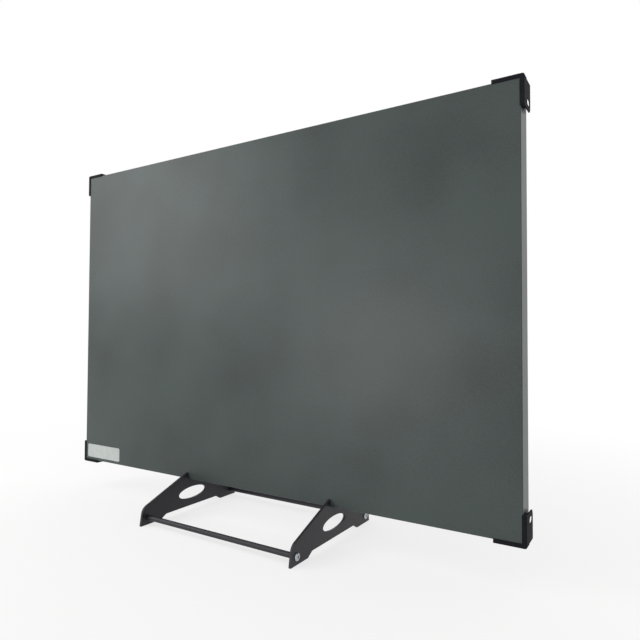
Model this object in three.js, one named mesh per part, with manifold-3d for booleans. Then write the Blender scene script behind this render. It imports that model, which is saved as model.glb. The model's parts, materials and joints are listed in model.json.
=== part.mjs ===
// A free-standing infrared panel heater: a flat heating panel in a folded steel tray, guarded by four
// corner brackets, that stands in the slots of two sheet-steel legs tied together by two round rods.
// Millimetres. +X is right seen from the front, +Y is towards the back and +Z is up. The origin is on the
// floor, under the middle of the legs' depth and the middle of the panel's width.
import * as THREE from "three";
import { mergeVertices } from "three/addons/utils/BufferGeometryUtils.js";
import Module from "manifold-3d";

const wasm = await Module();
wasm.setup();

// ---- panel ----
const panelWidth = 900;
const panelHeight = 606.5;
const panelThickness = 36;
const panelBottom = 57.5; // height of the panel's lower edge above the floor
const panelSetback = 12.5; // from the legs' middle forward to the panel's front face
const sheet = 1; // steel of the tray and of the rear cover
const flangeWidth = 14; // inward flange that the rear cover lies on
const coverInset = 3;
const coverScrewSpacing = 300;

// ---- heating layers, from the front sheet backwards ----
const filmThickness = 0.5;
const heaterThickness = 0.5;
const foilThickness = 0.5;
const insulationThickness = 21.5;
const filmMargin = 10; // from the panel's edge
const heaterMargin = 20;
const insulationMargin = 4;
const busbarWidth = 12;
const busbarThickness = 0.5;
const busbarEndMargin = 26;
const connectionHoleRadius = 4.5; // where a lead passes through the layers to its busbar
const connectionHeight = 60; // above the panel's lower edge

// ---- stiffening channels behind the insulation ----
const channelSpacing = 400;
const channelWidth = 24;
const channelEndMargin = 70;

// ---- temperature limiter ----
const cutoutHeight = 130;
const cutoutRadius = 8;
const cutoutDepth = 11.5;
const cutoutPocketRadius = 10;
const cutoutCrownRadius = 6;
const cutoutCrownHeight = 3;
const bladeSpacing = 10;
const bladeWidth = 5;
const bladeThickness = 0.8;
const bladeLength = 6;

// ---- junction box on the rear cover ----
const boxFromSide = 150; // from the panel's right side in to the box's middle
const boxBottom = 45; // above the panel's lower edge
const boxWidth = 90;
const boxHeight = 60;
const boxDepth = 12.5; // of the base alone
const boxWall = 2;
const gasketThickness = 1;
const gasketWidth = 4;
const lidThickness = 2;
const postRadius = 4;
const lidScrewSpacing = 76;
const lidScrewLength = 8;
const boxScrewSpacing = 62;
const boxScrewHeight = 12; // above the box's lower edge
const boxScrewLength = 5;
const entryWidth = 28; // slot that the leads pass through
const entryHeight = 8;
const entryFromTop = 15;

// ---- terminal block ----
const blockWidth = 34;
const blockHeight = 16;
const blockDepth = 8;
const blockFromBottom = 22;
const polePitch = 10;
const poleBoreRadius = 1.7;
const leadRadius = 1.2;
const leadBend = 4;
const leadInsertion = 4;
const lowRun = 50; // height of the long leads above the panel's lower edge
const terminalScrewRadius = 1.4;
const terminalSlotWidth = 0.5;
const terminalSlotDepth = 0.8;

// ---- cable inlet in the box's lower wall ----
const inletBoreRadius = 3.3;
const inletNeckRadius = 4.3;
const inletFlangeRadius = 5.1;
const inletFlange = 1.5;
const inletSleeve = 8; // taper that hangs below the wall
const inletTipRadius = 4.1;
const inletShoulderRadius = 4.7;
const clampFromBottom = 13; // above the box's lower edge
const clampSpacing = 20;
const clampBossRadius = 3;
const clampBossHeight = 7.5;
const clampBarHeight = 7;
const clampBarThickness = 2;
const clampScrewLength = 6;

// ---- earth stud inside the rear cover ----
const earthFromBox = 38; // sideways from the box's middle
const earthHeight = 120;
const earthStudRadius = 2;
const earthStudLength = 9;
const earthNutAcrossFlats = 7;
const earthNutHeight = 3.2;

// ---- corner brackets ----
const bracketReach = 38; // along each edge, from the panel's corner
const bracketWall = 4.8;
const bracketLip = 1.5; // how far it laps over the panel's front face
const bracketLipThickness = 1;
const bracketFullDepth = 14; // where the wall steps down to the ear
const earStep = 0.4; // from the bracket's outer face in to the ear
const earWall = 1.2;
const earRadius = 9;
const bracketPost = 12; // from the corner, where the ear is filled in to the panel's side
const bracketScrewLength = 9;
const bracketFlange = 2.5;
const bracketFlangeInset = 1; // from the panel's edge, past the post
const bracketFlangeNose = 12.5; // where the flange's slanted edge meets each arm
const bracketFlangeRound = 3;
const bracketFlangeCorner = 1;
const bracketCornerRadius = 3;
const earHoleFromEdge = 26;
const earHoleHeight = 9;
const earHoleLength = 16;
const earHoleBackWall = 4;
const bracketScrewInset = 9;

// ---- sticker at the lower left of the front ----
const labelWidth = 102;
const labelHeight = 27;
const labelThickness = 0.25;
const labelFromSide = 7.5;
const labelFromBottom = 6;
const labelCornerRadius = 3;

// ---- stand ----
const rodLength = 304;
const legThickness = 4;
const standShift = 7; // the legs stand this far to the right of the panel's middle
const legDepth = 240;
const footLength = 44;
const archHeight = 7;
const archRamp = 12;
const archRound = 2;
const legLean = 9; // degrees, of the front and back edges
const legSlope = 21.5; // degrees, of the long diagonals
const shoulderRadius = 15;
const lipHeight = 12; // the front lip above the slot's floor
const slotClearance = 0.75;
const windowLength = 68;
const windowHeight = 21;
const windowCentreHeight = 30.5;
const rodRadius = 4.25;
const rodHeight = 12;
const rodSetback = 15; // from the leg's front or back end
const rodBoreRadius = 2.5;
const rodBoreDepth = 16;
const rodScrewHeadRadius = 5.75;
const rodScrewHeadHeight = 3;
const rodScrewRim = 1.05; // straight part of the head's side
const rodScrewShoulderRadius = 5;
const rodScrewShoulderHeight = 2.25;
const rodScrewCrownRadius = 3.45;
const rodScrewSocket = 4; // across flats
const rodScrewSocketFloor = 0.75; // above the leg's face
const rodScrewTipGap = 2; // from the screw's tip to the end of its bore

// ---- small screws and fits ----
const screwShankRadius = 1.5;
const screwHeadRadius = 3.4;
const screwHeadHeight = 1.8;
const screwRim = 0.9;
const screwCrownRadius = 2.4;
const screwSlot = 0.9; // width of the cross recess
const screwSlotReach = 1.9;
const screwSlotFloor = 0.9;
const coverScrewLength = 8;
const fit = 0.3; // clearance round every screw, stud and lead
const over = 1; // how far a cut, or a piece that is joined on, runs past the face between them
const roundSides = 20;
const smallSides = 10;
const legSteps = 9; // segments in each round of a leg
const smallSteps = 5; // segments in each small round
const leadSteps = 4; // half the sides of a lead
const bendSteps = 4;

// ---- what follows from them ----
const halfWidth = panelWidth / 2;
const boxCentreX = halfWidth - boxFromSide;
const flangeFront = panelThickness - 2 * sheet;
const coverFront = panelThickness - sheet;
const filmFront = sheet;
const heaterFront = filmFront + filmThickness;
const busbarFront = heaterFront + heaterThickness;
const rearFilmFront = busbarFront + busbarThickness;
const foilFront = rearFilmFront + filmThickness;
const insulationFront = foilFront + foilThickness;
const insulationBack = insulationFront + insulationThickness;
const busbarX = halfWidth - heaterMargin - busbarWidth / 2;
const leadPlane = (insulationBack + coverFront) / 2; // the leads run in the gap behind the insulation
const boxFloor = panelThickness + boxWall;
const boxRim = panelThickness + boxDepth;
const lidFront = boxRim + gasketThickness;
const blockBottom = boxBottom + blockFromBottom;
const blockTop = blockBottom + blockHeight;
const blockMiddle = boxFloor + blockDepth / 2;
const terminalScrewZ = blockTop - leadInsertion / 2;
const entryMiddle = boxBottom + boxHeight - entryFromTop;
const lidBack = lidFront + lidThickness;
const inletY = (boxFloor + boxRim) / 2;
const earBack = panelThickness + bracketFlange;
const earOuter = bracketWall - earStep;

// ---- helpers ----

// A closed solid from a geometry: shared vertices merged, collapsed triangles dropped.
function solid(geometry) {
  const bare = geometry.clone();
  bare.deleteAttribute("normal");
  bare.deleteAttribute("uv");
  const merged = mergeVertices(bare, 1e-4);
  const triangles = [];
  const index = merged.index.array;
  for (let i = 0; i < index.length; i += 3) {
    const [a, b, c] = [index[i], index[i + 1], index[i + 2]];
    if (a !== b && b !== c && c !== a) triangles.push(a, b, c);
  }
  const vertProperties = merged.attributes.position.array;
  const triVerts = new Uint32Array(triangles);
  return new wasm.Manifold(new wasm.Mesh({ numProp: 3, vertProperties, triVerts }));
}

function geometryOf(made) {
  const { numProp, vertProperties, triVerts } = made.getMesh();
  const count = vertProperties.length / numProp;
  const positions = new Float32Array(count * 3);
  for (let i = 0; i < count; i += 1) {
    positions.set(vertProperties.subarray(i * numProp, i * numProp + 3), i * 3);
  }
  const geometry = new THREE.BufferGeometry();
  geometry.setAttribute("position", new THREE.BufferAttribute(positions, 3));
  geometry.setIndex(new THREE.BufferAttribute(triVerts, 1));
  geometry.computeVertexNormals();
  return geometry;
}

function cut(body, ...tools) {
  const whole = body.getMesh ? body : solid(body);
  return tools.reduce((rest, tool) => rest.subtract(solid(tool)), whole);
}

function join(...bodies) {
  const solids = bodies.map((body) => (body.getMesh ? body : solid(body)));
  return solids.reduce((sum, other) => sum.add(other));
}

// The block between two opposite corners.
function block([x0, y0, z0], [x1, y1, z1]) {
  const geometry = new THREE.BoxGeometry(x1 - x0, y1 - y0, z1 - z0);
  return geometry.translate((x0 + x1) / 2, (y0 + y1) / 2, (z0 + z1) / 2);
}

// A sheet or board parallel to the panel's face, inset from its edge, from depth front to depth back.
function layer(inset, front, back) {
  return block([inset - halfWidth, front, inset], [halfWidth - inset, back, panelHeight - inset]);
}

function basis(...axes) {
  return new THREE.Matrix4().makeBasis(...axes.map((axis) => new THREE.Vector3(...axis)));
}

// Turns that point a shape's height or depth, drawn along Z, along another axis.
const toward = {
  x: basis([0, 1, 0], [0, 0, 1], [1, 0, 0]),
  minusX: basis([0, -1, 0], [0, 0, 1], [-1, 0, 0]),
  y: basis([-1, 0, 0], [0, 0, 1], [0, 1, 0]),
  minusY: basis([1, 0, 0], [0, 0, 1], [0, -1, 0]),
  z: basis([1, 0, 0], [0, 1, 0], [0, 0, 1]),
};

// A flat outline given a depth, pointing along one of the axes above. Along X the outline's own axes are Y
// and Z, and along minus Y they are X and Z.
function prism(shape, depth, direction = toward.z, curveSegments = smallSteps) {
  const geometry = new THREE.ExtrudeGeometry(shape, { depth, bevelEnabled: false, curveSegments });
  return geometry.applyMatrix4(direction);
}

// A profile of [radius, height] pairs turned about its height axis, which then points along an axis.
function turned(profile, direction = toward.z, sides = roundSides) {
  const points = profile.map(([radius, height]) => new THREE.Vector2(radius, height));
  const geometry = new THREE.LatheGeometry(points, sides);
  return geometry.rotateX(Math.PI / 2).applyMatrix4(direction);
}

function cylinder(radius, low, high, direction = toward.z, sides = roundSides) {
  return turned([[0, low], [radius, low], [radius, high], [0, high]], direction, sides);
}

function hexagon(acrossFlats) {
  const shape = new THREE.Shape();
  const corner = acrossFlats / Math.sqrt(3);
  for (let i = 0; i < 6; i += 1) {
    const angle = (i * Math.PI) / 3;
    const point = [corner * Math.cos(angle), corner * Math.sin(angle)];
    if (i === 0) shape.moveTo(...point);
    else shape.lineTo(...point);
  }
  shape.closePath();
  return shape;
}

// A closed outline through corners [a, b, radius], with a round of that radius at each corner that has one.
function outline(corners) {
  const shape = new THREE.Shape();
  corners.forEach(([a, b, radius = 0], i) => {
    const here = new THREE.Vector2(a, b);
    const back = new THREE.Vector2(...corners.at(i - 1).slice(0, 2)).sub(here).normalize();
    const ahead = new THREE.Vector2(...corners[(i + 1) % corners.length].slice(0, 2)).sub(here).normalize();
    const halfAngle = Math.acos(THREE.MathUtils.clamp(back.dot(ahead), -1, 1)) / 2;
    const start = here.clone().addScaledVector(back, radius / Math.tan(halfAngle));
    if (i === 0) shape.moveTo(start.x, start.y);
    else shape.lineTo(start.x, start.y);
    if (radius === 0) return;
    const end = here.clone().addScaledVector(ahead, radius / Math.tan(halfAngle));
    const inward = back.clone().add(ahead).normalize();
    const centre = here.clone().addScaledVector(inward, radius / Math.sin(halfAngle));
    const from = start.clone().sub(centre).angle();
    const to = end.clone().sub(centre).angle();
    shape.absarc(centre.x, centre.y, radius, from, to, back.cross(ahead) > 0);
  });
  shape.closePath();
  return shape;
}

// A round-ended slot, its length along the first axis.
function slot(length, height) {
  const radius = height / 2;
  const reach = length / 2 - radius;
  const shape = new THREE.Shape();
  shape.absarc(reach, 0, radius, -Math.PI / 2, Math.PI / 2, false);
  shape.absarc(-reach, 0, radius, Math.PI / 2, (3 * Math.PI) / 2, false);
  shape.closePath();
  return shape;
}

// A path given as stations, each a point and a direction, so that rings fall only where a wire bends.
class Stations extends THREE.Curve {
  constructor(stations) {
    super();
    this.stations = stations;
  }

  getPointAt(u) {
    return this.stations[Math.round(u * (this.stations.length - 1))].point.clone();
  }

  getTangentAt(u) {
    return this.stations[Math.round(u * (this.stations.length - 1))].tangent.clone();
  }
}

// A round wire through points, with each corner bent to a radius.
function wire(points) {
  const corners = points.map((point) => new THREE.Vector3(...point));
  const stations = [];
  const addStation = (curve, u) => stations.push({ point: curve.getPoint(u), tangent: curve.getTangent(u) });
  addStation(new THREE.LineCurve3(corners[0], corners[1]), 0);
  for (let i = 1; i < corners.length - 1; i += 1) {
    const back = corners[i - 1].clone().sub(corners[i]).setLength(leadBend).add(corners[i]);
    const ahead = corners[i + 1].clone().sub(corners[i]).setLength(leadBend).add(corners[i]);
    const bend = new THREE.QuadraticBezierCurve3(back, corners[i], ahead);
    for (let step = 0; step <= bendSteps; step += 1) addStation(bend, step / bendSteps);
  }
  addStation(new THREE.LineCurve3(corners.at(-2), corners.at(-1)), 1);
  const section = new THREE.Shape().absarc(0, 0, leadRadius, 0, 2 * Math.PI, false);
  const extrudePath = new Stations(stations);
  const steps = stations.length - 1;
  return new THREE.ExtrudeGeometry(section, { extrudePath, steps, curveSegments: leadSteps });
}

// A pan-head screw whose head lies on the plane of height 0 and whose shank points the other way.
function screw(length, direction) {
  const body = turned([
    [0, -length],
    [screwShankRadius, -length],
    [screwShankRadius, 0],
    [screwHeadRadius, 0],
    [screwHeadRadius, screwRim],
    [screwCrownRadius, screwHeadHeight],
    [0, screwHeadHeight],
  ], direction, smallSides);
  const slots = [[screwSlotReach, screwSlot / 2], [screwSlot / 2, screwSlotReach]].map(([a, b]) =>
    block([-a, -b, screwSlotFloor], [a, b, screwHeadHeight + over]).applyMatrix4(direction));
  return cut(body, ...slots);
}

function material(color, roughness, metalness) {
  return () => new THREE.MeshStandardMaterial({ color, roughness, metalness });
}

const powderCoatGrey = material(0x5a6160, 0.5, 0.2);
const powderCoatBlack = material(0x2c2b30, 0.55, 0.2);
const zincSteel = material(0xc9cbcd, 0.35, 1);
const blackNylon = material(0x1d1f22, 0.5, 0);
const galvanised = material(0xa9adb0, 0.45, 0.9);
const carbonFilm = material(0x1a1a1a, 0.7, 0);
const clearFilm = material(0xd8c98f, 0.4, 0);
const copper = material(0xb87345, 0.35, 1);
const aluminiumFoil = material(0xd6d8da, 0.25, 1);
const mineralWool = material(0xc8b878, 0.95, 0);
const rubber = material(0x232323, 0.9, 0);
const whiteNylon = material(0xe6e4dc, 0.5, 0);
const brass = material(0xc2a55a, 0.35, 1);
const brownWire = material(0x6b3f22, 0.6, 0);
const blueWire = material(0x2d5fa8, 0.6, 0);
const greenWire = material(0x5f9a3a, 0.6, 0);
const labelPaper = material(0xc6cac8, 0.5, 0);

// One named piece in a group, at a place in it.
function place(group, name, shape, finish, position = [0, 0, 0], turn = 0) {
  const mesh = new THREE.Mesh(geometryOf(shape.getMesh ? shape : solid(shape)), finish());
  mesh.name = name;
  mesh.position.set(...position);
  mesh.rotation.y = turn;
  group.add(mesh);
}

// ---- stand ----

// One leg plate: feet and arch below, two diagonals that rise to the slot, and an oval window.
function legPlate() {
  const slotFront = -panelSetback - slotClearance;
  const slotBack = -panelSetback + panelThickness + slotClearance;
  const half = legDepth / 2;
  const lipTop = panelBottom + lipHeight;
  const lean = Math.tan(THREE.MathUtils.degToRad(legLean));
  const slope = Math.tan(THREE.MathUtils.degToRad(legSlope));
  // The shoulder is where the leaning edge, half - lean * z, meets the diagonal through the front lip.
  const shoulderZ = (lipTop - slope * (half + slotFront)) / (1 - slope * lean);
  const shoulderY = half - lean * shoulderZ;
  const rearLip = lipTop - slope * (slotBack + slotFront);
  const footEnd = half - footLength;
  const shape = outline([
    [-half, 0, 0],
    [-footEnd, 0, 0],
    [-footEnd + archRamp, archHeight, archRound],
    [footEnd - archRamp, archHeight, archRound],
    [footEnd, 0, 0],
    [half, 0, 0],
    [shoulderY, shoulderZ, shoulderRadius],
    [slotBack, rearLip, 0],
    [slotBack, panelBottom, 0],
    [slotFront, panelBottom, 0],
    [slotFront, lipTop, 0],
    [-shoulderY, shoulderZ, shoulderRadius],
  ]);
  shape.holes.push(new THREE.Path().absellipse(
    0, windowCentreHeight, windowLength / 2, windowHeight / 2, 0, 2 * Math.PI, true, 0));
  for (const y of [rodSetback - half, half - rodSetback]) {
    shape.holes.push(new THREE.Path().absarc(y, rodHeight, rodBoreRadius + fit, 0, 2 * Math.PI, true));
  }
  return prism(shape, legThickness, toward.x, legSteps);
}

// A cross rod along X, centred, with a tapped blind bore in each end.
function crossRod() {
  const half = rodLength / 2;
  return turned([
    [0, -half + rodBoreDepth],
    [rodBoreRadius, -half + rodBoreDepth],
    [rodBoreRadius, -half],
    [rodRadius, -half],
    [rodRadius, half],
    [rodBoreRadius, half],
    [rodBoreRadius, half - rodBoreDepth],
    [0, half - rodBoreDepth],
  ], toward.x);
}

// A button-head socket screw along X, its head lying on the plane of height 0.
function rodScrew(direction) {
  const reach = legThickness + rodBoreDepth - rodScrewTipGap;
  const body = turned([
    [0, -reach],
    [rodBoreRadius - fit, -reach],
    [rodBoreRadius - fit, 0],
    [rodScrewHeadRadius, 0],
    [rodScrewHeadRadius, rodScrewRim],
    [rodScrewShoulderRadius, rodScrewShoulderHeight],
    [rodScrewCrownRadius, rodScrewHeadHeight],
    [0, rodScrewHeadHeight],
  ], direction);
  const socket = prism(hexagon(rodScrewSocket), rodScrewHeadHeight).translate(0, 0, rodScrewSocketFloor);
  return cut(body, socket.applyMatrix4(direction));
}

function makeStand() {
  const stand = new THREE.Group();
  stand.position.x = standShift;
  const inner = rodLength / 2;
  const outer = inner + legThickness;
  const leg = legPlate();
  place(stand, "left_leg", leg, powderCoatBlack, [-outer, 0, 0]);
  place(stand, "right_leg", leg, powderCoatBlack, [inner, 0, 0]);
  const rodOffset = legDepth / 2 - rodSetback;
  const rods = [["front", -rodOffset], ["rear", rodOffset]];
  for (const [end, y] of rods) {
    place(stand, `${end}_cross_rod`, crossRod(), powderCoatBlack, [0, y, rodHeight]);
    place(stand, `${end}_rod_screw_left`, rodScrew(toward.minusX), zincSteel, [-outer, y, rodHeight]);
    place(stand, `${end}_rod_screw_right`, rodScrew(toward.x), zincSteel, [outer, y, rodHeight]);
  }
  return stand;
}

// ---- panel casing ----

// Where the screws hold the rear cover: along the top and bottom flanges, and at the middle of each side.
function coverScrewPlaces() {
  const edge = flangeWidth / 2;
  const places = [];
  for (const z of [edge, panelHeight - edge]) {
    for (const step of [-1, 0, 1]) places.push([step * coverScrewSpacing, z]);
  }
  for (const side of [-1, 1]) places.push([side * (halfWidth - edge), panelHeight / 2]);
  return places;
}

const corners = [
  ["top_right", 1, 1, 0],
  ["bottom_right", 1, -1, Math.PI / 2],
  ["bottom_left", -1, -1, Math.PI],
  ["top_left", -1, 1, -Math.PI / 2],
];

function cornerPlace(side, up, inset) {
  return [side * (halfWidth - inset), up > 0 ? panelHeight - inset : inset];
}

// Holes through the flange and the cover for all the screws of the back.
function backHoles() {
  const bracketPlaces = corners.map(([, side, up]) => cornerPlace(side, up, bracketScrewInset));
  return [...coverScrewPlaces(), ...bracketPlaces].map(([x, z]) =>
    cylinder(screwShankRadius + fit, -2 * panelThickness, -flangeFront + over, toward.minusY, smallSides)
      .translate(x, 0, z));
}

// The folded tray: front sheet, four sides and an inward flange round the open back.
function frontTray() {
  const inside = layer(sheet, sheet, flangeFront);
  const opening = layer(flangeWidth, flangeFront - over, panelThickness);
  return cut(layer(0, 0, coverFront), inside, opening, ...backHoles());
}

function boxScrewPlaces() {
  return [-1, 1].map((side) => [boxCentreX + (side * boxScrewSpacing) / 2, boxBottom + boxScrewHeight]);
}

function leadEntry(front, back) {
  return block(
    [boxCentreX - entryWidth / 2, front, entryMiddle - entryHeight / 2],
    [boxCentreX + entryWidth / 2, back, entryMiddle + entryHeight / 2]);
}

function rearCover() {
  const boxHoles = boxScrewPlaces().map(([x, z]) =>
    cylinder(screwShankRadius + fit, -2 * panelThickness, 0, toward.minusY, smallSides).translate(x, 0, z));
  const entry = leadEntry(flangeFront, boxRim);
  return cut(layer(coverInset, coverFront, panelThickness), ...backHoles(), ...boxHoles, entry);
}

// ---- corner bracket, made for the top right corner with that corner of the panel at its origin ----

// An L-shaped wall round the corner, between two offsets from the panel's sides and two depths.
function bracketShell(offset, inner, from, to, reach = bracketReach) {
  const shape = outline([
    [inner, -reach, 0],
    [offset, -reach, 0],
    [offset, offset, bracketCornerRadius],
    [-reach, offset, 0],
    [-reach, inner, 0],
    [inner, inner, 0],
  ]);
  return prism(shape, to - from, toward.minusY).translate(0, to, 0);
}

// A tool that cuts through one arm's wall, drawn seen along X, and the same tool for the other arm.
function armTools(shape, y, z) {
  const depth = 2 * bracketWall;
  const tool = prism(shape, depth, toward.x).translate(0, y, z);
  return [tool, tool.clone().rotateY(Math.PI / 2).translate(0, 0, depth)];
}

// What is cut off an arm's end so that the ear's back corner is round.
function earTrim() {
  return outline([
    [earBack - earRadius, -bracketReach - over],
    [earBack + over, -bracketReach - over],
    [earBack + over, -bracketReach + earRadius],
    [earBack, -bracketReach + earRadius],
    [earBack, -bracketReach, earRadius],
    [earBack - earRadius, -bracketReach],
  ]);
}

// The plate behind the panel, which meets the ear only at the post.
function bracketFlangeOutline() {
  return outline([
    [-bracketReach, -bracketFlangeNose, bracketFlangeRound],
    [-bracketFlangeNose, -bracketReach, bracketFlangeRound],
    [-bracketFlangeInset, -bracketReach, bracketFlangeCorner],
    [-bracketFlangeInset, -bracketPost],
    [earOuter, -bracketPost],
    [earOuter, earOuter, bracketFlangeCorner],
    [-bracketPost, earOuter],
    [-bracketPost, -bracketFlangeInset],
    [-bracketReach, -bracketFlangeInset, bracketFlangeCorner],
  ]);
}

function cornerBracket() {
  const body = join(
    bracketShell(bracketWall, -bracketLip, -bracketLipThickness, 0),
    bracketShell(bracketWall, 0, -bracketLipThickness, bracketFullDepth),
    bracketShell(earOuter, earOuter - earWall, bracketFullDepth - over, earBack),
    bracketShell(earOuter, 0, bracketFullDepth - over, earBack, bracketPost),
    prism(bracketFlangeOutline(), bracketFlange, toward.minusY).translate(0, earBack, 0));
  const screwHole = cylinder(screwShankRadius + fit, -earBack - over, 0, toward.minusY, smallSides)
    .translate(-bracketScrewInset, 0, -bracketScrewInset);
  const holeMiddle = earBack - earHoleBackWall - earHoleLength / 2;
  return cut(body, screwHole, ...armTools(earTrim(), 0, 0),
    ...armTools(slot(earHoleLength, earHoleHeight), holeMiddle, -earHoleFromEdge));
}

// ---- heating layers ----

// Holes through the layers behind the busbars, one at each side, for the leads.
function connectionHoles() {
  return [-1, 1].map((side) =>
    cylinder(connectionHoleRadius, -insulationBack - over, -busbarFront, toward.minusY, smallSides)
      .translate(side * busbarX, 0, connectionHeight));
}

function busbar(side) {
  const inner = side * (busbarX - busbarWidth / 2);
  const outer = side * (busbarX + busbarWidth / 2);
  return block(
    [Math.min(inner, outer), busbarFront, busbarEndMargin],
    [Math.max(inner, outer), rearFilmFront, panelHeight - busbarEndMargin]);
}

function insulationBoard() {
  const pocket = cylinder(cutoutPocketRadius, -insulationBack - over, -insulationFront + over, toward.minusY)
    .translate(0, 0, cutoutHeight);
  return cut(layer(insulationMargin, insulationFront, insulationBack), ...connectionHoles(), pocket);
}

// A U-channel along Z, its web against the rear cover and its two legs against the insulation.
function channel() {
  const half = channelWidth / 2;
  const low = channelEndMargin;
  const high = panelHeight - channelEndMargin;
  return cut(
    block([-half, insulationBack, low], [half, coverFront, high]),
    block(
      [-half + sheet, insulationBack - over, low - over],
      [half - sheet, coverFront - sheet, high + over]));
}

// The temperature limiter: a round metal cup on the foil with two blades standing off its back.
function thermalCutout() {
  const back = insulationFront + cutoutDepth;
  const cup = turned([
    [0, -back],
    [cutoutCrownRadius, -back],
    [cutoutRadius, -back + cutoutCrownHeight],
    [cutoutRadius, -insulationFront],
    [0, -insulationFront],
  ], toward.minusY);
  const blades = [-1, 1].map((side) => block(
    [(side * bladeSpacing - bladeThickness) / 2, back - over, -bladeWidth / 2],
    [(side * bladeSpacing + bladeThickness) / 2, back + bladeLength, bladeWidth / 2]));
  return join(cup, ...blades);
}

// ---- junction box ----

function postPlaces() {
  return [-1, 1].map((side) => [boxCentreX + (side * lidScrewSpacing) / 2, boxBottom + boxHeight / 2]);
}

function boxBlock(inset, front, back) {
  return block(
    [boxCentreX - boxWidth / 2 + inset, front, boxBottom + inset],
    [boxCentreX + boxWidth / 2 - inset, back, boxBottom + boxHeight - inset]);
}

function alongY(radius, front, back, [x, z], sides = smallSides) {
  return cylinder(radius, -back, -front, toward.minusY, sides).translate(x, 0, z);
}

function clampPlaces() {
  return [-1, 1].map((side) => [boxCentreX + (side * clampSpacing) / 2, boxBottom + clampFromBottom]);
}

function boxBase() {
  const bossBack = boxFloor + clampBossHeight;
  const posts = postPlaces().map((at) => alongY(postRadius, panelThickness, boxRim, at));
  const bosses = clampPlaces().map((at) => alongY(clampBossRadius, panelThickness, bossBack, at));
  const tray = cut(boxBlock(0, panelThickness, boxRim), boxBlock(boxWall, boxFloor, boxRim + over));
  const holes = [
    ...postPlaces().map((at) => alongY(screwShankRadius + fit, boxFloor, boxRim + over, at)),
    ...clampPlaces().map((at) => alongY(screwShankRadius + fit, boxFloor, bossBack + over, at)),
    ...boxScrewPlaces().map((at) => alongY(screwShankRadius + fit, coverFront, boxRim, at)),
    leadEntry(coverFront, boxFloor + over),
    cylinder(inletNeckRadius + fit, boxBottom - over, boxBottom + boxWall + over)
      .translate(boxCentreX, inletY, 0),
  ];
  return cut(join(tray, ...posts, ...bosses), ...holes);
}

function boxLid() {
  const holes = postPlaces().map((at) =>
    alongY(screwShankRadius + fit, lidFront - over, lidBack + over, at));
  return cut(boxBlock(0, lidFront, lidBack), ...holes);
}

// A three-pole block: wire bores along Z, and a clamping screw's hole into each from the back.
function poleX(pole) {
  return boxCentreX + pole * polePitch;
}

function terminalBlock() {
  const body = block(
    [boxCentreX - blockWidth / 2, boxFloor, blockBottom],
    [boxCentreX + blockWidth / 2, boxFloor + blockDepth, blockTop]);
  const tools = [-1, 0, 1].flatMap((pole) => [
    cylinder(poleBoreRadius, blockBottom - over, blockTop + over, toward.z, smallSides)
      .translate(poleX(pole), blockMiddle, 0),
    alongY(
      terminalScrewRadius + fit, blockMiddle, boxFloor + blockDepth + over, [poleX(pole), terminalScrewZ]),
  ]);
  return cut(body, ...tools);
}

// A slotted grub screw that ends just short of the wire that it clamps.
function terminalScrew() {
  const tip = blockMiddle + leadRadius + fit;
  const back = boxFloor + blockDepth;
  const reach = terminalScrewRadius + over;
  const slotTool = block(
    [-reach, back - terminalSlotDepth, -terminalSlotWidth / 2],
    [reach, back + over, terminalSlotWidth / 2]);
  return cut(alongY(terminalScrewRadius, tip, back, [0, 0]), slotTool);
}

// The cable inlet: a flanged rubber bush in the lower wall, with a tapered sleeve below it.
function cableInlet() {
  const wallTop = boxBottom + boxWall;
  return turned([
    [inletBoreRadius, boxBottom - inletFlange - inletSleeve],
    [inletTipRadius, boxBottom - inletFlange - inletSleeve],
    [inletShoulderRadius, boxBottom - inletFlange],
    [inletFlangeRadius, boxBottom - inletFlange],
    [inletFlangeRadius, boxBottom],
    [inletNeckRadius, boxBottom],
    [inletNeckRadius, wallTop],
    [inletFlangeRadius, wallTop],
    [inletFlangeRadius, wallTop + inletFlange],
    [inletBoreRadius, wallTop + inletFlange],
    [inletBoreRadius, boxBottom - inletFlange - inletSleeve],
  ]).translate(boxCentreX, inletY, 0);
}

function cableClamp() {
  const front = boxFloor + clampBossHeight;
  const back = front + clampBarThickness;
  const reach = clampSpacing / 2 + clampBossRadius;
  const middle = boxBottom + clampFromBottom;
  const holes = clampPlaces().map((at) => alongY(screwShankRadius + fit, front - over, back + over, at));
  return cut(block(
    [boxCentreX - reach, front, middle - clampBarHeight / 2],
    [boxCentreX + reach, back, middle + clampBarHeight / 2]), ...holes);
}

// The four leads, as routes through the middles of the wires.
function leadRoutes() {
  const start = blockTop - leadInsertion;
  const busbarEnd = rearFilmFront + fit;
  const bladeEnd = insulationFront + cutoutDepth + bladeLength + fit;
  const fromBlock = (pole) => [
    [poleX(pole), blockMiddle, start],
    [poleX(pole), blockMiddle, entryMiddle],
    [poleX(pole), leadPlane, entryMiddle],
  ];
  const blade = bladeSpacing / 2;
  const earthEnd = boxCentreX + earthFromBox - earthNutAcrossFlats / Math.sqrt(3) - fit;
  return {
    live_lead: [
      ...fromBlock(-1),
      [poleX(-1), leadPlane, lowRun],
      [blade, leadPlane, lowRun],
      [blade, leadPlane, cutoutHeight],
      [blade, bladeEnd, cutoutHeight],
    ],
    cutout_lead: [
      [-blade, bladeEnd, cutoutHeight],
      [-blade, leadPlane, cutoutHeight],
      [-blade, leadPlane, lowRun],
      [-busbarX, leadPlane, lowRun],
      [-busbarX, leadPlane, connectionHeight],
      [-busbarX, busbarEnd, connectionHeight],
    ],
    neutral_lead: [
      ...fromBlock(1),
      [poleX(1), leadPlane, connectionHeight],
      [busbarX, leadPlane, connectionHeight],
      [busbarX, busbarEnd, connectionHeight],
    ],
    earth_lead: [
      ...fromBlock(0),
      [poleX(0), leadPlane, earthHeight],
      [earthEnd, leadPlane, earthHeight],
    ],
  };
}

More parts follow.
